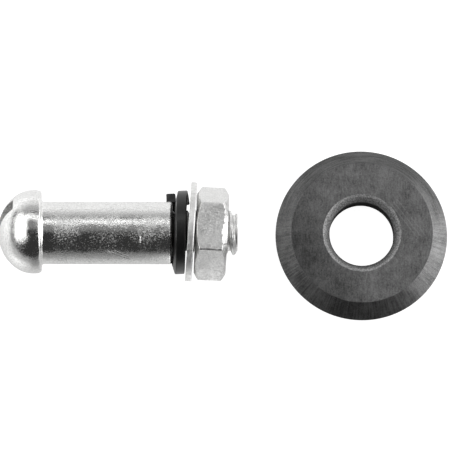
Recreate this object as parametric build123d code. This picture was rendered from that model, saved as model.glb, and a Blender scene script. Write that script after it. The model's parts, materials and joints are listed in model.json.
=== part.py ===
from build123d import *

import math
import os

# A tile cutter's cutting wheel and the axle set that it runs on, in millimetres, +Z up.
# The wheel lies flat with the centre of its bore at the origin, at mid thickness.
# The axle set lies on the same surface, along X, with its head furthest from the wheel.

# Cutting wheel
wheel_diameter = 16.0
wheel_thickness = 3.0
wheel_bore = 6.0
wheel_face_diameter = 13.2
wheel_bore_chamfer = 0.65
wheel_edge_land = 0.06

# Axle pin, turned from one bar: domed head, shank, thread
shank_clearance = 0.1
shank_length = 12.1
shank_end_round = 0.25
head_diameter = 7.77
dome_height = 3.28
dome_above_shank = 0.755
head_rim_round = 0.3
head_root_fillet = 0.25
head_round_share = 0.4
head_aside = 0.1
slot_width = 1.4
slot_depth = 1.42
slot_turn = 47.5
thread_diameter = 4.17
thread_stub = 0.955
thread_end_chamfer = 0.35

# Split spring washer, a left-hand turn of keystone wire that rides over the shank's end
spring_bore_clearance = 0.12
spring_section_width = 0.85
spring_section_thickness = 0.85
spring_foot_left = 0.22
spring_foot_right = 0.05
spring_lead = 1.2
spring_arc = 374.0
spring_start_turn = -23.0
spring_middle_from_shoulder = 0.62
spring_lean = 2.4
spring_sag = 0.05

# Flat washer, loose on the thread
washer_diameter = 9.2
washer_bore_clearance = 0.215
washer_thickness = 0.58
washer_edge_round = 0.08
washer_gap = 0.03
washer_lean = -3.4
washer_pitch = 1.2
washer_sag_y = 0.1
washer_sag_z = 0.1

# Hexagon nut, finger loose on the thread
nut_across_flats = 7.7
nut_thickness = 2.95
nut_lean = -2.45
nut_pitch = 1.5
nut_sag = 0.09
nut_slack = 0.015
nut_corner_round = 0.2
nut_chamfer_diameter = 7.36
nut_chamfer_angle = 30.0
nut_bore_chamfer = 0.3
nut_gap = 0.03

# Lie of the axle set beside the wheel
axle_gap = 3.637
axle_end_aside = 0.36
axle_yaw = 0.55

# Sizes that follow from the ones above
wheel_radius = wheel_diameter / 2
shank_radius = wheel_bore / 2 - shank_clearance
head_radius = head_diameter / 2
head_height = dome_height + dome_above_shank
head_foot_angle = math.degrees(math.acos(dome_above_shank / dome_height))
head_foot_radius = head_radius * math.sin(math.radians(head_foot_angle))
widest_round = (head_foot_radius - head_aside - shank_radius) * head_round_share
rim_round = min(head_rim_round, widest_round)
root_round = min(head_root_fillet, widest_round)
thread_radius = thread_diameter / 2
spring_bore_radius = shank_radius + spring_bore_clearance
spring_radius = spring_bore_radius + spring_section_width
spring_middle = shank_length + spring_middle_from_shoulder
spring_rise = spring_lead * spring_arc / 360
washer_radius = washer_diameter / 2
washer_bore_radius = thread_radius + washer_bore_clearance
floor_z = -wheel_thickness / 2


def slope(angle):
    """How far a leaning piece moves along the pin for each millimetre away from the pin."""
    return math.tan(math.radians(angle))


def coil_reach(turn, radius):
    """Where the flat washer's middle plane must start so that it clears one point of the coil."""
    turned_past = turn - spring_start_turn
    middle = spring_middle + spring_rise / 2 - spring_lead * turned_past / 360
    aside = radius * math.cos(math.radians(turn)) + spring_sag
    above = radius * math.sin(math.radians(turn))
    leaning_in = aside * (slope(washer_lean) - slope(spring_lean)) - above * slope(washer_pitch)
    foot = spring_foot_right * (spring_radius - radius) / spring_section_width
    return middle + spring_section_thickness / 2 + foot + leaning_in


def washer_seat():
    """The flat washer's middle, as near to the leaning coil as its gap lets it be."""
    turns = [spring_start_turn + step for step in range(0, int(spring_arc), 5)]
    reach = max(coil_reach(turn, radius)
                for turn in turns for radius in (spring_bore_radius, spring_radius))
    return reach + washer_gap + washer_thickness / 2


def nut_seat():
    """The nut's middle, past the flat washer where the two lean towards each other."""
    lean_apart = slope(nut_lean) - slope(washer_lean)
    pitch_apart = slope(nut_pitch) - slope(washer_pitch)
    leaning_in = nut_chamfer_diameter / 2 * math.hypot(lean_apart, pitch_apart)
    return washer_middle + (washer_thickness + nut_thickness) / 2 + leaning_in + nut_gap


def nut_play():
    """The room around the thread that the nut's lean and pitch take up."""
    return nut_thickness / 2 * math.hypot(slope(nut_lean), slope(nut_pitch))


nut_bore_radius = thread_radius + nut_play() + nut_sag + nut_slack
washer_middle = washer_seat()
nut_middle = nut_seat()
thread_end = nut_middle + nut_thickness / 2 + thread_stub


def turned(points):
    """A solid of revolution about X from a closed outline of (x, radius) points."""
    outline = make_face(Polyline(*points, close=True))
    return revolve(outline, Axis.X)


def ring_edges(solid, radius, x):
    """The circular edges of a turned solid that lie at a place x with a radius."""
    def matches(edge):
        middle = edge.arc_center
        return abs(edge.radius - radius) < 1e-4 and abs(middle.X - x) < 1e-4
    return [edge for edge in solid.edges().filter_by(GeomType.CIRCLE) if matches(edge)]


def washer_foot():
    """The lowest point of the flat washer, as (along the pin, below the pin)."""
    pitch = math.radians(washer_pitch)
    half = washer_thickness / 2
    back = half * math.cos(pitch) + washer_radius * math.sin(pitch)
    below = washer_radius * math.cos(pitch) - half * math.sin(pitch) - washer_sag_z
    return washer_middle - back, below


def axle_rise():
    """The angle at which the axle lies, on its domed head and the flat washer's rim."""
    foot, below = washer_foot()
    run = foot + dome_above_shank
    square = run ** 2 - dome_height ** 2
    root = math.sqrt((run * below) ** 2 - square * (below ** 2 - head_radius ** 2))
    return math.degrees(math.atan((run * below - root) / square))


def axle_place():
    """The place of the axle set: its own x = 0 is the underside of the head."""
    yaw = math.radians(axle_yaw)
    rise = math.radians(axle_rise())
    along = Vector(math.cos(yaw) * math.cos(rise), -math.sin(yaw) * math.cos(rise), math.sin(rise))
    upward = Vector(-math.cos(yaw) * math.sin(rise), math.sin(yaw) * math.sin(rise), math.cos(rise))
    dome_above_floor = math.hypot(dome_height * math.sin(rise), head_radius * math.cos(rise))
    end_height = floor_z + dome_above_floor + (thread_end + dome_above_shank) * math.sin(rise)
    end = Vector(-wheel_radius - axle_gap, -axle_end_aside, end_height)
    return Plane(origin=end - along * thread_end, x_dir=along, z_dir=upward).location


def loose_place(x, lean, pitch=0.0, sag_y=0.0, sag_z=0.0):
    """The place of a loose piece on the pin, leaning about the pin's own Z and pitched about its Y."""
    return Pos(x, sag_y, sag_z) * Rot(0, pitch, lean)


def cutting_wheel():
    """Carbide disc with a two-sided bevelled rim and a chamfered bore."""
    half = wheel_thickness / 2
    land = wheel_edge_land / 2
    bore = wheel_bore / 2
    outline = Polyline(
        (bore, half - wheel_bore_chamfer),
        (bore + wheel_bore_chamfer, half),
        (wheel_face_diameter / 2, half),
        (wheel_radius, land),
        (wheel_radius, -land),
        (wheel_face_diameter / 2, -half),
        (bore + wheel_bore_chamfer, -half),
        (bore, -half + wheel_bore_chamfer),
        close=True,
    )
    return revolve(Plane.XZ * make_face(outline), Axis.Z)


def domed_head():
    """Flattened dome, a little off the pin's axis, that curves in under its widest ring."""
    dome = EllipticalCenterArc(
        (-dome_above_shank, 0), dome_height, head_radius, head_foot_angle,
        arc_size=180 - head_foot_angle,
    )
    foot = Polyline((-head_height, 0), (0, 0), (0, head_foot_radius))
    head = revolve(make_face([dome, foot]), Axis.X)
    return Pos(0, head_aside, 0) * fillet(ring_edges(head, head_foot_radius, 0), rim_round)


def screwdriver_slot():
    """The box that the slot is cut with, across the top of the dome."""
    box = Box(slot_depth, head_diameter, slot_width, align=(Align.MIN, Align.CENTER, Align.CENTER))
    return Pos(0, head_aside, 0) * Rot(slot_turn, 0, 0) * Pos(-head_height, 0, 0) * box


def axle_pin():
    """Slotted dome, shank for the wheel and thread for the nut."""
    stem = turned([
        (-dome_above_shank, 0),
        (-dome_above_shank, shank_radius),
        (shank_length, shank_radius),
        (shank_length, thread_radius),
        (thread_end, thread_radius),
        (thread_end, 0),
    ])
    stem = fillet(ring_edges(stem, shank_radius, shank_length), shank_end_round)
    stem = chamfer(ring_edges(stem, thread_radius, thread_end), thread_end_chamfer)
    pin = domed_head() + stem
    pin = fillet(ring_edges(pin, shank_radius, 0), root_round)
    return pin - screwdriver_slot()


def spring_washer():
    """One open turn of keystone wire, thickest round its bore, whose ends stand apart along the pin."""
    middle_radius = (spring_bore_radius + spring_radius) / 2
    path = Helix(spring_lead, spring_rise, middle_radius, lefthand=True)
    half_width = spring_section_width / 2
    half_thick = spring_section_thickness / 2
    outline = Polyline(
        (half_width, half_thick),
        (-half_width, half_thick + spring_foot_left),
        (-half_width, -half_thick - spring_foot_right),
        (half_width, -half_thick),
        close=True,
    )
    section = Plane(path @ 0, x_dir=(1, 0, 0), z_dir=path % 0) * make_face(outline)
    coil = sweep(section, path, is_frenet=True)
    start_on_y = Rot(0, 0, 90)
    along_pin = Rot(0, -90, 0)
    turned_to_start = Rot(spring_start_turn, 0, 0)
    coil = turned_to_start * along_pin * start_on_y * Pos(0, 0, -spring_rise / 2) * coil
    return loose_place(spring_middle, spring_lean, sag_y=spring_sag) * coil


def flat_washer():
    """Punched ring, rounded along the edge where the punch went in."""
    half = washer_thickness / 2
    ring = turned([
        (-half, washer_bore_radius),
        (-half, washer_radius),
        (half, washer_radius),
        (half, washer_bore_radius),
    ])
    ring = fillet(ring_edges(ring, washer_radius, half), washer_edge_round)
    return loose_place(washer_middle, washer_lean, washer_pitch, washer_sag_y, washer_sag_z) * ring


def hex_nut():
    """Hexagon with level flats on top, chamfered on both faces and at both ends of its bore."""
    half = nut_thickness / 2
    tall = Plane.YZ * RegularPolygon(nut_across_flats / 2, 6, major_radius=False)
    blank = Pos(-half, 0, 0) * extrude(tall, nut_thickness)
    corners = blank.edges().filter_by(Axis.X)
    blank = fillet(corners, nut_corner_round)
    crown = nut_chamfer_diameter / 2
    corner_radius = nut_across_flats / 2 / math.cos(math.radians(30))
    drop = (corner_radius - crown) * math.tan(math.radians(nut_chamfer_angle))
    barrel = turned([
        (-half, 0),
        (-half, crown),
        (-half + drop, corner_radius),
        (half - drop, corner_radius),
        (half, crown),
        (half, 0),
    ])
    mouth = nut_bore_radius + nut_bore_chamfer
    bore = turned([
        (-half, 0),
        (-half, mouth),
        (-half + nut_bore_chamfer, nut_bore_radius),
        (half - nut_bore_chamfer, nut_bore_radius),
        (half, mouth),
        (half, 0),
    ])
    return loose_place(nut_middle, nut_lean, nut_pitch, -nut_sag) * ((blank & barrel) - bore)


def save(name, shape):
    """Write one node's STEP file."""
    export_step(shape, f"parts/{name}.step")


def main():
    os.makedirs("parts", exist_ok=True)
    axle = axle_place()
    save("cutting_wheel", cutting_wheel())
    save("axle_pin", axle * axle_pin())
    save("spring_washer", axle * spring_washer())
    save("flat_washer", axle * flat_washer())
    save("hex_nut", axle * hex_nut())


main()
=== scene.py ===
import json
import math

import bmesh
import bpy
import numpy as np
from mathutils import Matrix, Vector


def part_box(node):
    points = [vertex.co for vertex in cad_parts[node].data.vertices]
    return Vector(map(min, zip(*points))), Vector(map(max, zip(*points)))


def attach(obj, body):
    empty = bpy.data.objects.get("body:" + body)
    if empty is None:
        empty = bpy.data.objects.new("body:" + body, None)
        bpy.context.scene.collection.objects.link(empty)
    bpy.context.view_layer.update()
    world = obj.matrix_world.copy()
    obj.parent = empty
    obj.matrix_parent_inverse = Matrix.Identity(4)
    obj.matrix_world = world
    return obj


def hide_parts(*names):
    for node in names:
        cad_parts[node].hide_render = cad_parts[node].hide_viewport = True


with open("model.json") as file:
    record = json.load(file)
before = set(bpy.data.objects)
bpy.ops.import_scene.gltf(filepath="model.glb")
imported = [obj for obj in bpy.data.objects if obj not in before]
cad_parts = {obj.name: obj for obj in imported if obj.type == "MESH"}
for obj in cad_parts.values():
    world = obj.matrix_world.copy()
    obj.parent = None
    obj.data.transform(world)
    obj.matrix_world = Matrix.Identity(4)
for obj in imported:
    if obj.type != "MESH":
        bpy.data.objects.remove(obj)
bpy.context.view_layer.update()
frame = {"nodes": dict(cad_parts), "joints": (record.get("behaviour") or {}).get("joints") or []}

# Lengths are in millimetres until a mesh, a lamp or the camera is made, angles in degrees.
MM = 0.001

# Camera, at the photograph's viewing angle
view_elevation = 78.93
view_aside = -2.0
view_distance = 900.0
view_width = 42.62
view_aim = Vector((-12.32, 0.643, 0))
sensor_width = 36.0

# Rounding of the turned edges; points this close to each arc's ends hold the straights flat
hold = 0.02
arc_step = 12.0
crisp_angle = 30.0

# Cutting wheel
wheel_bore = 6.0
wheel_face_diameter = 13.2
wheel_bore_chamfer = 0.65
wheel_chamfer_break = 0.22
wheel_chamfer_drop = 0.14
wheel_edge_land = 0.06
wheel_edge_round = 0.02
wheel_face_round = 0.05
wheel_bore_round = 0.06
wheel_columns = 384

# Axle pin
pin_columns = 240
dome_height = 3.28
dome_above_shank = 0.755
head_rim_round = 0.3
head_root_fillet = 0.25
head_rings = 72
shank_radius = 2.9
shank_end_round = 0.25
head_aside = 0.1
slot_width = 1.4
slot_depth = 1.42
slot_turn = 47.5
slot_lip = 0.07
slot_lip_steps = 48

# Thread, right hand
thread_radius = 2.085
thread_pitch = 0.794
thread_depth = 0.42
thread_crest = 0.16
thread_root = 0.2
thread_runout = 0.5
thread_end_chamfer = 0.35
thread_rows_per_pitch = 26
thread_phase = 0.09

# Split spring washer
spring_bore_radius = 3.02
spring_section_width = 0.85
spring_section_thickness = 0.85
spring_foot_left = 0.22
spring_foot_right = 0.05
spring_square_end = 40.0
spring_lead = 1.2
spring_arc = 374.0
spring_start_turn = -23.0
spring_middle_from_shoulder = 0.62
spring_lean = 2.4
spring_sag = 0.05
spring_round = 0.07
spring_steps = 260
spring_crisp_angle = 50.0

# Flat washer
washer_lean = -3.4
washer_pitch = 1.2
washer_bore_radius = 2.3
washer_punched_round = 0.12
washer_round = 0.04
washer_columns = 256

# Hexagon nut
nut_across_flats = 7.7
nut_thickness = 2.95
nut_corner_round = 0.2
nut_chamfer_diameter = 7.36
nut_chamfer_angle = 30.0
nut_edge_round = 0.1
nut_edge_steps = 4
nut_sag = 0.09
nut_bore_radius = 2.264
nut_bore_chamfer = 0.3
nut_flat_columns = 72
nut_corner_columns = 10
nut_torn_across = (-2.2, -1.18, -0.38, 0.28, 1.38, 2.2)
nut_torn_back = (0.34, 0.44, 0.5, 0.34, 0.29, 0.5)
nut_burr = 0.03
nut_burr_waves = (39, 63, 102)
nut_burr_seed = 7

# How far to each side of its middle noise is used
noise_reach = 0.15
grain_reach = 0.2
mottle_reach = 0.1

# Zinc plate: sizes and depths of its grain in millimetres, tones as the share of light it sends back
zinc_tint = (1.0, 1.0, 0.99)
zinc_patch_size = 1.3
zinc_speck_per_grain = 1.4
zinc_speck_range = (0.5, 0.72)
zinc_speck_dull = 0.3
washer_rough = (0.44, 0.52)
washer_grain_size = 0.3
washer_grain_depth = 0.004
washer_tones = (0.76, 0.9)
nut_rough = (0.3, 0.44)
nut_grain_size = 0.14
nut_grain_depth = 0.012
nut_tones = (0.66, 0.9)

# Zinc on the pin
speckle_size = 0.11
speckle_depth = 0.023
wave_size = 3 * speckle_size
wave_depth = 0.005
dull_speck_size = 1.3 * speckle_size
dull_speck_range = (0.5, 0.68)
dull_speck = 0.36
pin_patch_size = 1.6
pin_patch_speckle = (0.6, 1.3)
pin_tones = (0.9, 0.74)
pin_rough = (0.1, 0.19)
# Beside the head the shank is calmer: over what length, and what share of speckle and roughness is left
calm_length = 1.6
calm_speckle = 0.4
calm_rough = 0.65
calm_rough_start = 0.2
head_extra = 0.25
head_fade = 0.1
thread_rough = 0.16
shoulder_fade = 0.12
# Painted shade: the thread's colour is darkened from the shoulder to the flat washer, where it lies in
# narrow gaps beside the spring washer
gap_shade = 0.12
gap_shade_from_shoulder = (1.4, 1.6)
# Scratches on the shank: along and turn of the start and of the end, width, strength
pin_scratches = (
    (6.25, -47, 8.25, -67, 0.09, 1.0),
    (6.9, -46, 8.1, -60, 0.07, 0.5),
    (9.2, -18, 9.2, -28, 0.06, 0.5),
)
scratch_depth = 0.06

# Black oxide
oxide_grain_size = 0.18
oxide_grain_depth = 0.005
oxide_tones = (0.006, 0.014)
oxide_patch_size = 1.5
oxide_rough = (0.3, 0.4)

# Ground carbide
carbide_tones = (0.072, 0.198)
carbide_fine_size = 0.14
carbide_patch_size = 1.5
carbide_cloud_size = 5.0
carbide_streak_size = 0.16
carbide_streak_stretch = (1, 0.28, 1)
carbide_rough = (0.38, 0.46)
carbide_depth = 0.006
carbide_shares = {"patches": 0.25, "clouds": 0.15, "sharp": 0.3, "scratches": 0.08}
face_scratch_start = (3.0, 2.9)
face_scratch_end = (5.5, -0.4)
face_scratch_asides = (-0.3, 0.0, 0.36)
face_scratch_width = 0.07
# Painted light and shade: the face is darker towards its lower left and lighter towards its upper right; the
# bevel is painted lighter at the right and darker at the back
face_shade_run = (0.9, 0.4, 0)
face_shade_range = (-5.5, -1.5)
face_light_and_shade = (0.8, 1.26)
bevel_light_to = 6.0
bevel_painted_light = (1.12, 1.46)
bevel_shade_range = (0.1, 0.8)
bevel_painted_shade = 0.74
bevel_turn_range = (-0.1, 0.5)
bevel_contrast = (0.3, 0.7)
# Grinding streaks on the bevel: their spacing round the wheel and along its radius
bevel_radial = (0.16, 1.6)
bevel_concentric = (2.4, 0.12)
# The bore's chamfer is left raw, with painted shade along its inner edge
chamfer_tones = (0.24, 0.55)
chamfer_range = (0.4, 0.65)
chamfer_rough = 0.8
chamfer_brighter = 1.15
chamfer_shade_width = 0.5
chamfer_edge_shade = (0.3, 0.65)
chamfer_edge_shade_range = (-0.3, 0.6)
# Painted shade: the bore's wall gets a darker colour for the shade inside the bore
bore_wall_shade = 0.06

# Light, as brightness where white paper is 1
room = 0.035
floor_half = 700.0
floor_grey = 0.36
floor_rough = 0.9
floor_seen = 0.95
# How bright the floor looks in polished metal: from and to along Y or X, and the brightness at each
floor_behind = (-4, 4, 0, 0.18)
floor_before = (-15, -5, 0, 0.48)
floor_right = (8, 20, 0, 0.5)
floor_left = (-47, -34, 0.24, 0)
floor_under_bore = (wheel_bore / 2, wheel_bore / 2 + 1, 0, 1)
# Brighter patches of it in front of the nut and beside the head: middle, reach along X and Y, brightness
floor_patches = (((-14.07, -17), 5.33, 16, 1.0), ((-37, -13), 7, 11, 0.5))
patch_core = 0.375
# Lamps: name, azimuth (0 is behind the object as the camera sees it), elevation, width, height, brightness
lamp_distance = 300.0
lamps = (
    ("backdrop", 0, 9.5, 700, 104, 0.85),
    ("wall", 0, 31, 600, 130, 0.46),
    ("key", 6, 60, 340, 66, 1.75),
    ("ceiling", 0, 82, 400, 140, 0.2),
    ("right", 88, 22, 400, 200, 2.8),
    ("right_high", 90, 60, 190, 130, 1.5),
    ("left", -86, 38, 360, 240, 1.9),
)


def points_of(node):
    """A CAD node's points, in millimetres."""
    mesh = frame["nodes"][node].data
    points = np.zeros(len(mesh.vertices) * 3)
    mesh.vertices.foreach_get("co", points)
    return points.reshape(-1, 3) / MM


def facing(x_axis, origin):
    """The place of a turned piece: its own X runs along an axis, and its own Z is as nearly up as can be."""
    z_axis = (Vector((0, 0, 1)) - x_axis * x_axis.z).normalized()
    y_axis = z_axis.cross(x_axis)
    place = Matrix((x_axis, y_axis, z_axis)).transposed().to_4x4()
    place.translation = origin
    return place


def leaning(place, x, y, lean, pitch=0.0):
    """A place on the pin, leaning about the pin's own Z and pitched about its Y."""
    pitched = place @ Matrix.Translation((x, y, 0)) @ Matrix.Rotation(math.radians(pitch), 4, "Y")
    return pitched @ Matrix.Rotation(math.radians(lean), 4, "Z")


def reach(place, node, radius):
    """How far along the pin a node's points go that stand further from its centre line than a radius."""
    local = points_of(node) - np.array(place.translation)
    x = local @ np.array(place.col[0][:3])
    away = np.hypot(local @ np.array(place.col[1][:3]), local @ np.array(place.col[2][:3]))
    return x[away > radius].max()


def middle_of(node, place):
    """The middle of a node, in a place's own directions."""
    local = points_of(node) @ np.array(place.to_3x3())
    middle = (local.min(0) + local.max(0)) / 2
    return Vector(np.array(place.to_3x3()) @ middle)


def half_size(node, place):
    """Half a node's size, in a place's own directions."""
    local = points_of(node) @ np.array(place.to_3x3())
    return (local.max(0) - local.min(0)) / 2


joints = {joint["name"]: joint for joint in frame["joints"]}
pin_axis = Vector(joints["nut_advance"]["axis"]).normalized()
nut_axis = Vector(joints["nut_turn"]["axis"]).normalized()
nut_middle = Vector(joints["nut_turn"]["pos_m"]) / MM
nut_place = facing(nut_axis, nut_middle)
at_nut = facing(pin_axis, nut_middle)
at_nut.translation = nut_middle + at_nut.col[1].to_3d() * nut_sag
head_underside = reach(at_nut, "axle_pin", shank_radius + head_root_fillet + hold)
pin_place = at_nut @ Matrix.Translation((head_underside, 0, 0))
shoulder = reach(pin_place, "axle_pin", thread_radius + hold)
thread_end = reach(pin_place, "axle_pin", 0)
head_radius = half_size("axle_pin", pin_place)[1]
spring_place = leaning(pin_place, shoulder + spring_middle_from_shoulder, spring_sag, spring_lean)
washer_turned = leaning(pin_place, 0, 0, washer_lean, washer_pitch)
washer_place = washer_turned.copy()
washer_place.translation = middle_of("flat_washer", washer_turned)
washer_half, washer_radius = half_size("flat_washer", washer_turned)[[0, 2]]
wheel_low, wheel_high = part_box("cutting_wheel")
wheel_radius = wheel_high.x / MM
wheel_half = wheel_high.z / MM
floor_z = wheel_low.z / MM
wheel_place = Matrix.Rotation(math.radians(-90), 4, "Y")


def piece_from(name, points, faces, place=Matrix.Identity(4)):
    """A closed smooth mesh piece from points in millimetres in a place of its own."""
    points = np.array(points) @ np.array(place.to_3x3()).T + np.array(place.translation)
    mesh = bpy.data.meshes.new(name)
    mesh.from_pydata((points * MM).tolist(), [], faces)
    shaped = bmesh.new()
    shaped.from_mesh(mesh)
    bmesh.ops.recalc_face_normals(shaped, faces=shaped.faces)
    shaped.to_mesh(mesh)
    shaped.free()
    mesh.shade_smooth()
    piece = bpy.data.objects.new(name, mesh)
    bpy.context.scene.collection.objects.link(piece)
    return piece


def arc(middle, radius, start, end, step=arc_step):
    """Points of an arc in the (x, radius) plane, its ends included."""
    steps = max(2, math.ceil(abs(end - start) / step))
    angles = np.radians(np.linspace(start, end, steps + 1))
    return [(middle[0] + radius * math.cos(a), middle[1] + radius * math.sin(a)) for a in angles]


def rounded(corners):
    """An outline from (x, radius, rounding) corners, with points that hold its straights flat."""
    outline = []
    count = len(corners)
    for i, (x, r, rounding) in enumerate(corners):
        if rounding == 0:
            outline.append((x, r))
            continue
        here = Vector((x, r))
        back = (Vector(corners[i - 1][:2]) - here).normalized()
        ahead = (Vector(corners[(i + 1) % count][:2]) - here).normalized()
        half_turn = back.angle(ahead) / 2
        reach_back = rounding / math.tan(half_turn)
        middle = here + (back + ahead).normalized() * (rounding / math.sin(half_turn))
        first = here + back * reach_back - middle
        swing = math.degrees(math.pi - 2 * half_turn)
        swing = swing if first.x * ahead.y - first.y * ahead.x > 0 else -swing
        start = math.degrees(math.atan2(first.y, first.x))
        outline.append(tuple(here + back * (reach_back + hold)))
        outline += arc(middle, rounding, start, start + swing)
        outline.append(tuple(here + ahead * (reach_back + hold)))
    return outline


def turned_grid(outline, columns):
    """Arrays of x and radius, one row for each outline point and one column for each step round."""
    outline = np.array(outline)
    ones = np.ones((1, columns))
    return outline[:, :1] * ones, outline[:, 1:] * ones


def around(columns):
    """The angles of evenly spaced columns."""
    return np.arange(columns) * 2 * math.pi / columns


def grid_points(x, r, angles):
    """Points from arrays of x and radius and one angle for each column."""
    return np.stack([x, r * np.cos(angles), r * np.sin(angles)], axis=-1).reshape(-1, 3)


def grid_faces(rows, columns, closed):
    """Faces between the rows of a grid that is closed round its axis, and along it where asked."""
    faces = []
    for row in range(rows if closed else rows - 1):
        below = (row + 1) % rows
        for column in range(columns):
            beside = (column + 1) % columns
            faces.append((row * columns + column, row * columns + beside,
                          below * columns + beside, below * columns + column))
    return faces


def ring_piece(name, x, r, angles, place):
    """A ring whose outline closes on itself."""
    rows, columns = x.shape
    return piece_from(name, grid_points(x, r, angles), grid_faces(rows, columns, True), place)


def bar_piece(name, x, r, angles, aside, place):
    """A bar whose first and last rows close on their own centres, with how far each row stands aside."""
    rows, columns = x.shape
    points = grid_points(x, r, angles)
    points[:, 1] += np.repeat(aside, columns)
    points = points.tolist() + [(x[0].mean(), aside[0], 0), (x[-1].mean(), aside[-1], 0)]
    first, last = rows * columns, rows * columns + 1
    faces = grid_faces(rows, columns, False)
    for column in range(columns):
        beside = (column + 1) % columns
        faces.append((first, beside, column))
        faces.append((last, (rows - 1) * columns + column, (rows - 1) * columns + beside))
    return piece_from(name, points, faces, place)


def cutting_wheel():
    """Carbide disc: two-sided bevel, sharp rim, bore with a crowned chamfer."""
    half = wheel_half
    land = wheel_edge_land / 2
    bore = wheel_bore / 2
    mouth = bore + wheel_bore_chamfer
    crown = mouth - wheel_chamfer_break
    upper = [
        (land, wheel_radius, wheel_edge_round),
        (half, wheel_face_diameter / 2, wheel_face_round),
        (half, mouth, wheel_bore_round),
        (half - wheel_chamfer_drop, crown, wheel_bore_round),
        (half - wheel_bore_chamfer, bore, wheel_bore_round),
    ]
    lower = [(-x, r, rounding) for x, r, rounding in reversed(upper)]
    x, r = turned_grid(rounded(upper + lower), wheel_columns)
    return ring_piece("cutting_wheel_ground", x, r, around(wheel_columns), wheel_place)


def head_outline():
    """The flattened dome from its top over the widest ring to the rounded rim, and the root of the shank."""
    foot = math.acos((dome_above_shank - head_rim_round) / dome_height)
    turns = np.linspace(math.pi, foot, head_rings)
    dome = [(dome_height * math.cos(t) - dome_above_shank, head_radius * math.sin(t)) for t in turns]
    rim_radius = dome[-1][1] - head_rim_round
    rim = arc((-head_rim_round, rim_radius), head_rim_round, 90, 0)
    root_middle = (head_root_fillet, shank_radius + head_root_fillet)
    root = arc(root_middle, head_root_fillet, 180, 270)
    return dome[1:] + rim[1:] + [(0, rim_radius - hold)], [(0, root_middle[1] + hold)] + root


def shank_outline():
    """The shank from the head's root over the rounded shoulder to the foot of the thread."""
    start = head_root_fillet + hold
    round_middle = (shoulder - shank_end_round, shank_radius - shank_end_round)
    edge = arc(round_middle, shank_end_round, 90, 0)
    straight = [(start, shank_radius), (edge[0][0] - hold, shank_radius)]
    return straight + edge + [(shoulder, round_middle[1] - hold), (shoulder, thread_radius)]


def thread_form(phase):
    """The height of the thread, from 0 at the root to 1 at the crest, over one pitch of phase."""
    away = np.abs((phase + 0.5) % 1 - 0.5) * 2
    flank = np.clip((1 - thread_root - away) / (1 - thread_root - thread_crest), 0, 1)
    return flank * flank * (3 - 2 * flank)


def pin_thread(angles):
    """Rows of x and radius for the thread, with its run-out at the shoulder and its chamfered end."""
    rows = math.ceil((thread_end - shoulder) / thread_pitch * thread_rows_per_pitch)
    x = np.linspace(shoulder + hold, thread_end, rows)[:, None] * np.ones((1, len(angles)))
    height = thread_form(x / thread_pitch + thread_phase - angles / (2 * math.pi))
    height = np.maximum(height, 1 - (x - shoulder) / thread_runout)
    radius = thread_radius - thread_depth * (1 - height)
    chamfer = thread_radius - thread_end_chamfer + (thread_end - x)
    return x, np.minimum(radius, chamfer)


def slot_cutter():
    """The box that cuts the slot, with a wedge along each lip that takes the lip's edge off."""
    low = -dome_height - dome_above_shank - slot_depth
    high = low + 2 * slot_depth
    half = slot_width / 2
    span = head_radius
    points = [(x, y, z) for x in (low, high) for y in (-span, span) for z in (-half, half)]
    faces = [(0, 1, 3, 2), (4, 6, 7, 5), (0, 4, 5, 1), (2, 3, 7, 6), (0, 2, 6, 4), (1, 5, 7, 3)]
    head_place = pin_place @ Matrix.Translation((0, head_aside, 0))
    spin = head_place @ Matrix.Rotation(math.radians(slot_turn), 4, "X")
    cutters = [piece_from("slot_box", points, faces, spin)]
    lip_share = math.sqrt(1 - (half / head_radius) ** 2)
    swing = math.degrees(math.acos((dome_height - slot_depth) / (dome_height * lip_share)))
    turns = np.radians(np.linspace(-swing, swing, slot_lip_steps + 1))
    for side in (-1, 1):
        section = [(-slot_lip, -slot_lip), (slot_lip, slot_lip), (slot_lip, -slot_lip)]
        points = []
        for t in turns:
            for out, wide in section:
                x = -dome_above_shank - (dome_height * lip_share + out) * math.cos(t)
                points.append((x, (head_radius * lip_share + out) * math.sin(t), side * (half + wide)))
        faces = [(3 * i + a, 3 * i + b, 3 * i + 3 + b, 3 * i + 3 + a)
                 for i in range(len(turns) - 1) for a, b in ((0, 1), (1, 2), (2, 0))]
        last = 3 * (len(turns) - 1)
        faces += [(0, 1, 2), (last, last + 2, last + 1)]
        cutters.append(piece_from(f"slot_lip_{side}", points, faces, spin))
    return cutters


def cut(piece, cutters):
    """Takes the cutters out of a piece, and keeps its edges crisp."""
    for cutter in cutters:
        modifier = piece.modifiers.new("cut", "BOOLEAN")
        modifier.operation = "DIFFERENCE"
        modifier.solver = "EXACT"
        modifier.object = cutter
    bpy.context.view_layer.update()
    shaped = piece.evaluated_get(bpy.context.evaluated_depsgraph_get())
    mesh = bpy.data.meshes.new_from_object(shaped)
    piece.modifiers.clear()
    piece.data = mesh
    mesh.set_sharp_from_angle(angle=math.radians(crisp_angle))
    for cutter in cutters:
        bpy.data.objects.remove(cutter)


def axle_pin():
    """Slotted dome, shank, rounded shoulder and chamfered thread, turned from one bar."""
    angles = around(pin_columns)
    head, root = head_outline()
    x, r = turned_grid(head + root + shank_outline(), pin_columns)
    thread_x, thread_r = pin_thread(angles)
    x = np.concatenate([x, thread_x])
    r = np.concatenate([r, thread_r])
    aside = np.where(np.arange(len(x)) < len(head), head_aside, 0.0)
    pin = bar_piece("axle_pin_turned", x, r, angles, aside, pin_place)
    cut(pin, slot_cutter())
    return pin


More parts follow.
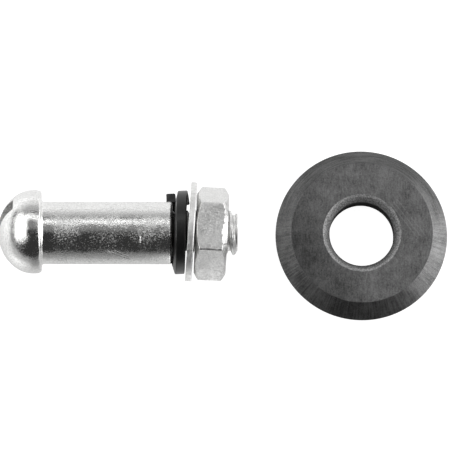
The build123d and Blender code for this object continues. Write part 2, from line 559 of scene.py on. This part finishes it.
def spring_washer():
    """One open turn of keystone wire with rounded edges and cut ends."""
    half_width = spring_section_width / 2
    half_thick = spring_section_thickness / 2
    middle_radius = spring_bore_radius + half_width
    rise = spring_lead * spring_arc / 360
    points = []
    for i in range(spring_steps + 1):
        share = i / spring_steps
        turn = math.radians(spring_start_turn + spring_arc * share)
        x = rise / 2 - rise * share
        foot = min(1, (1 - share) * spring_arc / spring_square_end)
        section = rounded([
            (half_thick, half_width, spring_round),
            (-half_thick, half_width, spring_round),
            (-half_thick - spring_foot_left * foot, -half_width, spring_round),
            (half_thick + spring_foot_right * foot, -half_width, spring_round),
        ])
        points += [(x + dx, (middle_radius + dr) * math.cos(turn), (middle_radius + dr) * math.sin(turn))
                   for dx, dr in section]
    count = len(section)
    faces = grid_faces(spring_steps + 1, count, False)
    faces += [tuple(range(count)), tuple(spring_steps * count + k for k in reversed(range(count)))]
    spring = piece_from("spring_washer_black", points, faces, spring_place)
    spring.data.set_sharp_from_angle(angle=math.radians(spring_crisp_angle))
    return spring


def flat_washer():
    """Punched ring, well rounded where the punch went in."""
    x, r = turned_grid(rounded([
        (-washer_half, washer_bore_radius, washer_round),
        (-washer_half, washer_radius, washer_round),
        (washer_half, washer_radius, washer_punched_round),
        (washer_half, washer_bore_radius, washer_round),
    ]), washer_columns)
    return ring_piece("flat_washer_zinc", x, r, around(washer_columns), washer_place)


def hexagon():
    """Angles and radii of the nut's outline: six flats with level ones on top, six rounded corners."""
    flat_half = nut_across_flats / 2
    side_half = flat_half * math.tan(math.radians(30)) - nut_corner_round * math.tan(math.radians(30))
    round_from = flat_half - nut_corner_round
    outline = []
    for side in range(6):
        turn = math.radians(60 * side + 30)
        normal = Vector((math.cos(turn), math.sin(turn)))
        along = Vector((-normal.y, normal.x))
        for share in np.linspace(-1, 1, nut_flat_columns):
            outline.append(normal * flat_half + along * side_half * share)
        centre = normal * round_from + along * side_half
        for step in range(1, nut_corner_columns):
            swing = turn + math.radians(60) * step / nut_corner_columns
            outline.append(centre + Vector((math.cos(swing), math.sin(swing))) * nut_corner_round)
    outline = np.array(outline)
    return np.arctan2(outline[:, 1], outline[:, 0]), np.hypot(outline[:, 0], outline[:, 1])


def nut_side(edge_x, radius, sign):
    """Rows from a face's chamfer over its edge to the flat, for each column's own radius."""
    crown = nut_chamfer_diameter / 2
    face_x = nut_thickness / 2
    slope = math.radians(nut_chamfer_angle)
    turn = math.radians(90) - slope
    reach_back = nut_edge_round * math.tan(turn / 2)
    face = [(face_x, crown - hold), (face_x, crown), (face_x - hold * math.tan(slope), crown + hold)]
    rows = [(np.full_like(radius, sign * x), np.full_like(radius, r)) for x, r in face]
    start_x = edge_x + (reach_back + hold) * math.sin(slope)
    rows.append((sign * start_x, radius - (reach_back + hold) * math.cos(slope)))
    middle_x = edge_x - reach_back
    middle_r = radius - nut_edge_round
    for swing in np.linspace(0, turn, nut_edge_steps + 1):
        bend = math.pi / 2 - turn + swing
        rows.append((sign * (middle_x + nut_edge_round * math.cos(bend)),
                     middle_r + nut_edge_round * math.sin(bend)))
    rows.append((sign * (middle_x - hold), radius))
    return rows


def nut_edge(radius, angles, sign):
    """Where the chamfer meets the flats, with a torn edge on the far side of the level top."""
    slope = math.tan(math.radians(nut_chamfer_angle))
    edge = nut_thickness / 2 - (radius - nut_chamfer_diameter / 2) * slope
    if sign < 0:
        return edge
    torn = np.interp(radius * np.cos(angles), nut_torn_across, nut_torn_back)
    rng = np.random.default_rng(nut_burr_seed)
    for waves in nut_burr_waves:
        torn += nut_burr * np.sin(angles * waves + rng.uniform(0, 2 * math.pi))
    on_top = np.abs(angles - math.pi / 2) < math.atan2(nut_torn_across[-1], nut_across_flats / 2)
    return np.where(on_top, np.minimum(edge, nut_thickness / 2 - torn), edge)


def nut_bore(radius, angles):
    """Rows down the bore: a chamfered mouth at each end and thread grooves between."""
    face_x = nut_thickness / 2
    count = math.ceil(nut_thickness / thread_pitch * thread_rows_per_pitch)
    rows = []
    for x in np.linspace(face_x, -face_x, count):
        groove = thread_form(x / thread_pitch - angles / (2 * math.pi)) * thread_depth / 2
        mouth = nut_bore_radius + nut_bore_chamfer - (face_x - abs(x))
        rows.append((np.full_like(radius, x), np.maximum(nut_bore_radius + groove, mouth)))
    return rows


def hex_nut():
    """Hexagon nut, chamfered on both faces, with a threaded bore."""
    angles, radius = hexagon()
    right = nut_side(nut_edge(radius, angles, 1), radius, 1)
    left = nut_side(nut_edge(radius, angles, -1), radius, -1)
    rows = right + left[::-1] + nut_bore(radius, angles)[::-1]
    x = np.array([row[0] for row in rows])
    r = np.array([row[1] for row in rows])
    return ring_piece("hex_nut_zinc", x, r, angles, nut_place)


def new_material(name):
    """A node material and its tree and shader."""
    material = bpy.data.materials.new(name)
    material.use_nodes = True
    return material, material.node_tree, material.node_tree.nodes["Principled BSDF"]


def add(tree, kind, inputs=None, **settings):
    """A node with its inputs, by name or number, given as values or as other nodes' sockets."""
    node = tree.nodes.new("ShaderNode" + kind)
    for name, value in settings.items():
        setattr(node, name, value)
    for name, value in (inputs or {}).items():
        if isinstance(value, bpy.types.NodeSocket):
            tree.links.new(value, node.inputs[name])
        else:
            node.inputs[name].default_value = value
    return node


def math_node(tree, operation, first, *others):
    """One sum on any number of values, from left to right."""
    for other in others:
        first = add(tree, "Math", {0: first, 1: other}, operation=operation).outputs[0]
    return first


def plus(tree, *values):
    """Values added up."""
    return math_node(tree, "ADD", *values)


def times(tree, *values):
    """Values multiplied."""
    return math_node(tree, "MULTIPLY", *values)


def most(tree, *values):
    """The largest of some values."""
    return math_node(tree, "MAXIMUM", *values)


def vector_math(tree, operation, first, second, output="Vector"):
    """One sum on two vectors."""
    return add(tree, "VectorMath", {0: first, 1: second}, operation=operation).outputs[output]


def scaled(tree, vector, factor):
    """A vector or colour times a number."""
    return add(tree, "VectorMath", {0: vector, "Scale": factor}, operation="SCALE").outputs[0]


def length(tree, vector):
    """A vector's length."""
    return vector_math(tree, "LENGTH", vector, (0, 0, 0), "Value")


def from_wheel_axis(tree, place):
    """A point's level offset from the wheel's axis."""
    return vector_math(tree, "MULTIPLY", place, (1, 1, 0))


def own_place(tree):
    """Coordinates fixed to the piece, in millimetres."""
    return scaled(tree, add(tree, "TexCoord").outputs["Object"], 1 / MM)


def noise(tree, place, size, detail=2.0, roughness=0.5):
    """Noise with a feature size given in millimetres."""
    node = add(tree, "TexNoise", {"Vector": place, "Scale": 1 / size,
                                  "Detail": detail, "Roughness": roughness})
    return node.outputs["Fac"]


def spread(tree, value, low, high, to_low, to_high):
    """A value mapped from one range to another, and held there."""
    node = add(tree, "MapRange", {"Value": value, "From Min": low, "From Max": high,
                                  "To Min": to_low, "To Max": to_high})
    return node.outputs["Result"]


def levelled(tree, noisy, to_low, to_high, reach=noise_reach):
    """Noise mapped to a range, from the reach about its middle where most of it lies."""
    return spread(tree, noisy, 0.5 - reach, 0.5 + reach, to_low, to_high)


def mixed(tree, share, first, second):
    """A value between two values."""
    return add(tree, "Mix", {0: share, 2: first, 3: second}, data_type="FLOAT").outputs[0]


def blended(tree, share, first, second):
    """A colour between two colours."""
    return add(tree, "Mix", {0: share, 6: first, 7: second}, data_type="RGBA").outputs[2]


def grey(tree, share, tones, tint=(1.0, 1.0, 1.0)):
    """A colour between two greys."""
    first, second = ((tone * tint[0], tone * tint[1], tone * tint[2], 1) for tone in tones)
    return blended(tree, share, first, second)


def bump(tree, height, depth, normal=None):
    """A bump whose depth is in millimetres."""
    inputs = {"Height": height, "Distance": depth * MM, "Strength": 1.0}
    if normal is not None:
        inputs["Normal"] = normal
    return add(tree, "Bump", inputs).outputs["Normal"]


def scratch(tree, place, start, end, width):
    """One along the middle of a straight scratch between two points, falling to nought at its sides."""
    run = end - start
    away = vector_math(tree, "SUBTRACT", place, start)
    share = vector_math(tree, "DOT_PRODUCT", away, run / run.length_squared, "Value")
    held = spread(tree, share, 0, 1, 0, 1)
    off = vector_math(tree, "SUBTRACT", away, scaled(tree, run, held))
    return spread(tree, length(tree, off), 0, width, 1, 0)


def finish_with(tree, shader, colour, rough, normal):
    """Links a surface's colour, roughness and bump to its shader."""
    tree.links.new(colour, shader.inputs["Base Color"])
    tree.links.new(rough, shader.inputs["Roughness"])
    tree.links.new(normal, shader.inputs["Normal"])


def plated(name, rough, grain_size, grain_depth, tones):
    """Zinc plate: grainy gloss with cloudy patches and small duller specks."""
    material, tree, shader = new_material(name)
    place = own_place(tree)
    grain = noise(tree, place, grain_size, 3.0, 0.6)
    patches = noise(tree, place, zinc_patch_size, 3.0, 0.6)
    specks = noise(tree, place, grain_size * zinc_speck_per_grain, 2.0, 0.7)
    colour = grey(tree, levelled(tree, grain, 0, 1, grain_reach), tones, zinc_tint)
    dull = spread(tree, specks, *zinc_speck_range, 0, zinc_speck_dull)
    roughness = plus(tree, levelled(tree, patches, *rough), dull)
    finish_with(tree, shader, colour, roughness, bump(tree, grain, grain_depth))
    shader.inputs["Metallic"].default_value = 1.0
    return material


def along_pin(tree, place):
    """How far a point is along the pin from the underside of its head."""
    away = vector_math(tree, "SUBTRACT", place, pin_place.translation)
    return vector_math(tree, "DOT_PRODUCT", away, pin_place.col[0].to_3d(), "Value")


def shank_point(along, turn):
    """A point on the shank, a turn towards the back from the shank's top."""
    swing = math.radians(turn)
    return pin_place @ Vector((along, shank_radius * math.sin(swing), shank_radius * math.cos(swing)))


def shank_scratches(tree, place):
    """The scratches on the shank, one where they are deepest."""
    marks = []
    for start, start_turn, end, end_turn, width, strength in pin_scratches:
        ends = shank_point(start, start_turn), shank_point(end, end_turn)
        marks.append(times(tree, scratch(tree, place, *ends, width), strength))
    return most(tree, *marks)


def pin_zinc():
    """The pin's zinc: a tumbled, speckled shank, calmer beside the head, and a duller thread with painted
    shade from the shoulder to the flat washer.
    """
    material, tree, shader = new_material("bright_zinc")
    place = own_place(tree)
    along = along_pin(tree, place)
    fine = noise(tree, place, speckle_size, 2.5, 0.65)
    waves = noise(tree, place, wave_size, 2.0, 0.5)
    patches = noise(tree, place, pin_patch_size, 3.0, 0.6)
    specks = noise(tree, place, dull_speck_size, 1.0, 0.6)

    on_head = spread(tree, along, -head_fade, 0, head_extra, 0)
    calm = spread(tree, along, 0, calm_length, calm_speckle, 1)
    lively = times(tree, plus(tree, calm, on_head), levelled(tree, patches, *pin_patch_speckle))

    clean = grey(tree, levelled(tree, specks, 0, 1), pin_tones, zinc_tint)
    # Painted shade on the thread from the shoulder to the flat washer
    past_shoulder = spread(tree, along, shoulder - shoulder_fade, shoulder + hold, 1, gap_shade)
    gap_shade_fades, gap_shade_ends = (shoulder + far for far in gap_shade_from_shoulder)
    past_spring = spread(tree, along, gap_shade_fades, gap_shade_ends, gap_shade, 1)
    colour = scaled(tree, clean, most(tree, past_shoulder, past_spring))

    beside_head = plus(tree, spread(tree, along, calm_rough_start, calm_length, calm_rough, 1), on_head)
    even = times(tree, levelled(tree, patches, *pin_rough), beside_head)
    dull = times(tree, spread(tree, specks, *dull_speck_range, 0, dull_speck), lively)
    on_thread = spread(tree, along, shoulder - shoulder_fade, shoulder, 0, thread_rough)

    pitted = bump(tree, times(tree, fine, lively), speckle_depth)
    waved = bump(tree, waves, wave_depth, pitted)
    scratched = bump(tree, times(tree, shank_scratches(tree, place), -1), scratch_depth, waved)
    finish_with(tree, shader, colour, plus(tree, even, dull, on_thread), scratched)
    shader.inputs["Metallic"].default_value = 1.0
    return material


def black_oxide():
    """Blackened spring steel with a faint oily sheen."""
    material, tree, shader = new_material("black_oxide")
    place = own_place(tree)
    grain = noise(tree, place, oxide_grain_size, 3.0, 0.6)
    patches = noise(tree, place, oxide_patch_size, 3.0, 0.6)
    colour = grey(tree, levelled(tree, grain, 0, 1, grain_reach), oxide_tones)
    rough = levelled(tree, patches, *oxide_rough)
    finish_with(tree, shader, colour, rough, bump(tree, grain, oxide_grain_depth))
    return material


def face_scratches(tree, place):
    """Faint parallel scratches on the wheel's upper face."""
    marks = []
    for aside in face_scratch_asides:
        shift = Vector((aside, aside / 2, wheel_half))
        start = Vector((*face_scratch_start, 0)) + shift
        end = Vector((*face_scratch_end, 0)) + shift
        marks.append(scratch(tree, place, start, end, face_scratch_width))
    return most(tree, *marks)


def bevel_grinding(tree, radius, direction, towards_back):
    """Streaks ground into the bevel: radial at the front, round the wheel at the back."""
    ring = add(tree, "CombineXYZ", {"Z": radius}).outputs[0]
    streaks = []
    for across, along in (bevel_radial, bevel_concentric):
        around_wheel = scaled(tree, direction, wheel_radius / across)
        outwards = scaled(tree, ring, 1 / along)
        streaks.append(noise(tree, vector_math(tree, "ADD", around_wheel, outwards), 1, 3.0, 0.65))
    at_back = spread(tree, towards_back, *bevel_turn_range, 0, 1)
    return levelled(tree, mixed(tree, at_back, *streaks), *bevel_contrast)


def raw_chamfer(tree, radius, towards_back, fine):
    """The speckled grey of the bore's chamfer, with painted shade along its inner edge."""
    bore = wheel_bore / 2
    # Painted shade: darker towards the chamfer's inner edge, most at the front
    edge_shade = mixed(tree, spread(tree, towards_back, *chamfer_edge_shade_range, 0, 1), *chamfer_edge_shade)
    from_edge = spread(tree, radius, bore, bore + chamfer_shade_width, 0, 1)
    speckled = grey(tree, spread(tree, fine, *chamfer_range, 0, 1), chamfer_tones)
    return scaled(tree, speckled, mixed(tree, from_edge, edge_shade, chamfer_brighter))


def carbide():
    """Ground sintered carbide: mottled face, ground bevel, speckled chamfer round the bore."""
    material, tree, shader = new_material("ground_carbide")
    place = own_place(tree)
    flat = from_wheel_axis(tree, place)
    radius = length(tree, flat)
    direction = add(tree, "VectorMath", {0: flat}, operation="NORMALIZE").outputs[0]
    towards_back = add(tree, "SeparateXYZ", {0: direction}).outputs["Y"]
    stretched = vector_math(tree, "MULTIPLY", place, carbide_streak_stretch)
    upright = noise(tree, stretched, carbide_streak_size, 4.0, 0.7)
    patches = noise(tree, place, carbide_patch_size, 4.0, 0.65)
    clouds = noise(tree, place, carbide_cloud_size, 2.0, 0.5)
    fine = noise(tree, place, carbide_fine_size, 3.0, 0.7)

    face_edge = wheel_face_diameter / 2
    mouth = wheel_bore / 2 + wheel_bore_chamfer
    on_bevel = spread(tree, radius, face_edge - hold, face_edge, 0, 1)
    on_chamfer = spread(tree, radius, mouth - hold, mouth + hold, 1, 0)
    on_wall = spread(tree, radius, wheel_bore / 2, wheel_bore / 2 + hold, 1, 0)

    streaks = mixed(tree, on_bevel, upright, bevel_grinding(tree, radius, direction, towards_back))
    sharp = plus(tree, streaks, fine)
    parts = {"patches": patches, "clouds": clouds, "sharp": sharp, "scratches": face_scratches(tree, place)}
    tone = plus(tree, *(times(tree, parts[name], share) for name, share in carbide_shares.items()))
    even_grey = grey(tree, levelled(tree, tone, 0, 1, mottle_reach), carbide_tones)
    # Painted light and shade in the colour: the face by its place towards the upper right, the bevel by its
    # place round the wheel
    to_right = vector_math(tree, "DOT_PRODUCT", place, face_shade_run, "Value")
    painted_face = spread(tree, to_right, *face_shade_range, *face_light_and_shade)
    painted_bevel_light = spread(tree, to_right, 0, bevel_light_to, *bevel_painted_light)
    painted_bevel = mixed(tree, spread(tree, towards_back, *bevel_shade_range, 0, 1), painted_bevel_light, bevel_painted_shade)
    ground_grey = scaled(tree, even_grey, mixed(tree, on_bevel, painted_face, painted_bevel))
    with_chamfer = blended(tree, on_chamfer, ground_grey, raw_chamfer(tree, radius, towards_back, fine))
    # Painted shade on the bore's wall
    colour = blended(tree, on_wall, with_chamfer, (bore_wall_shade, bore_wall_shade, bore_wall_shade, 1))

    rough = mixed(tree, on_chamfer, levelled(tree, patches, *carbide_rough), chamfer_rough)
    finish_with(tree, shader, colour, rough, bump(tree, sharp, carbide_depth))
    shader.inputs["Metallic"].default_value = 1.0
    return material


def floor_reflected(tree, place):
    """How bright the floor looks in polished metal, by where it is seen; dark through the wheel's bore."""
    x, y, _ = add(tree, "SeparateXYZ", {0: place}).outputs
    glows = [spread(tree, y, *floor_before), spread(tree, y, *floor_behind),
             spread(tree, x, *floor_right), spread(tree, x, *floor_left)]
    for (middle_x, middle_y), reach_x, reach_y, brightness in floor_patches:
        away = vector_math(tree, "SUBTRACT", place, (middle_x, middle_y, floor_z))
        shares = vector_math(tree, "MULTIPLY", away, (1 / reach_x, 1 / reach_y, 0))
        glows.append(spread(tree, length(tree, shares), patch_core, 1, brightness, 0))
    from_bore = length(tree, from_wheel_axis(tree, place))
    return times(tree, plus(tree, *glows), spread(tree, from_bore, *floor_under_bore))


def floor():
    """A plain pale floor that reads as white where nothing shades it."""
    half = floor_half
    plane = piece_from("floor", [(-half, -half, floor_z), (half, -half, floor_z),
                                 (half, half, floor_z), (-half, half, floor_z)], [(0, 1, 2, 3)])
    material, tree, shader = new_material("pale_floor")
    shader.inputs["Base Color"].default_value = (floor_grey, floor_grey, floor_grey, 1)
    shader.inputs["Roughness"].default_value = floor_rough
    shader.inputs["Emission Color"].default_value = (1, 1, 1, 1)
    path = add(tree, "LightPath").outputs
    mirrored = most(tree, path["Is Glossy Ray"], path["Is Transmission Ray"])
    seen = times(tree, path["Is Camera Ray"], floor_seen)
    reflected = times(tree, mirrored, floor_reflected(tree, own_place(tree)))
    tree.links.new(plus(tree, seen, reflected), shader.inputs["Emission Strength"])
    plane.data.materials.append(material)


def surroundings():
    """A dim grey room that is white to the camera."""
    world = bpy.data.worlds.new("studio")
    world.use_nodes = True
    bpy.context.scene.world = world
    tree = world.node_tree
    tree.nodes.clear()
    seen = add(tree, "LightPath").outputs["Is Camera Ray"]
    strength = plus(tree, times(tree, seen, 1 - room), room)
    light = add(tree, "Background", {"Color": (1, 1, 1, 1), "Strength": strength})
    out = add(tree, "OutputWorld")
    tree.links.new(light.outputs[0], out.inputs[0])


def softbox(name, azimuth, elevation, width, height, brightness):
    """A rectangular lamp that faces the object."""
    data = bpy.data.lights.new(name, "AREA")
    data.shape = "RECTANGLE"
    data.size = width * MM
    data.size_y = height * MM
    data.energy = brightness * math.pi * width * height * MM * MM
    lamp = bpy.data.objects.new(name, data)
    turn, rise = math.radians(azimuth), math.radians(elevation)
    towards = Vector((math.sin(turn) * math.cos(rise), math.cos(turn) * math.cos(rise), math.sin(rise)))
    aim = Vector((view_aim.x, 0, 0))
    lamp.location = (aim + towards * lamp_distance) * MM
    lamp.rotation_euler = towards.to_track_quat("Z", "Y").to_euler()
    lamp.visible_camera = False
    bpy.context.scene.collection.objects.link(lamp)


def camera():
    """The camera, far off with a long lens."""
    data = bpy.data.cameras.new("camera")
    data.sensor_width = sensor_width
    data.lens = sensor_width * view_distance / view_width
    made = bpy.data.objects.new("camera", data)
    rise = math.radians(view_elevation)
    level = Vector((0, -math.cos(rise), math.sin(rise)))
    back = (level + Vector((math.tan(math.radians(view_aside)), 0, 0))).normalized()
    across = (Vector((1, 0, 0)) - back * back.x).normalized()
    place = Matrix((across, back.cross(across), back)).transposed().to_4x4()
    place.translation = (view_aim + back * view_distance) * MM
    made.matrix_world = place
    bpy.context.scene.collection.objects.link(made)
    bpy.context.scene.camera = made


def dress(piece, node, body, material):
    """Gives a piece its material and body, and hides the CAD node that it stands for."""
    piece.data.materials.clear()
    piece.data.materials.append(material)
    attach(piece, body)
    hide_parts(node)


bpy.context.scene.view_settings.view_transform = "Standard"
camera()
floor()
surroundings()
for lamp in lamps:
    softbox(*lamp)

washer_zinc = plated("washer_zinc", washer_rough, washer_grain_size, washer_grain_depth, washer_tones)
nut_zinc = plated("nut_zinc", nut_rough, nut_grain_size, nut_grain_depth, nut_tones)
dress(cutting_wheel(), "cutting_wheel", "wheel_and_pin", carbide())
dress(axle_pin(), "axle_pin", "wheel_and_pin", pin_zinc())
dress(spring_washer(), "spring_washer", "wheel_and_pin", black_oxide())
dress(flat_washer(), "flat_washer", "loose_washer", washer_zinc)
dress(hex_nut(), "hex_nut", "nut", nut_zinc)
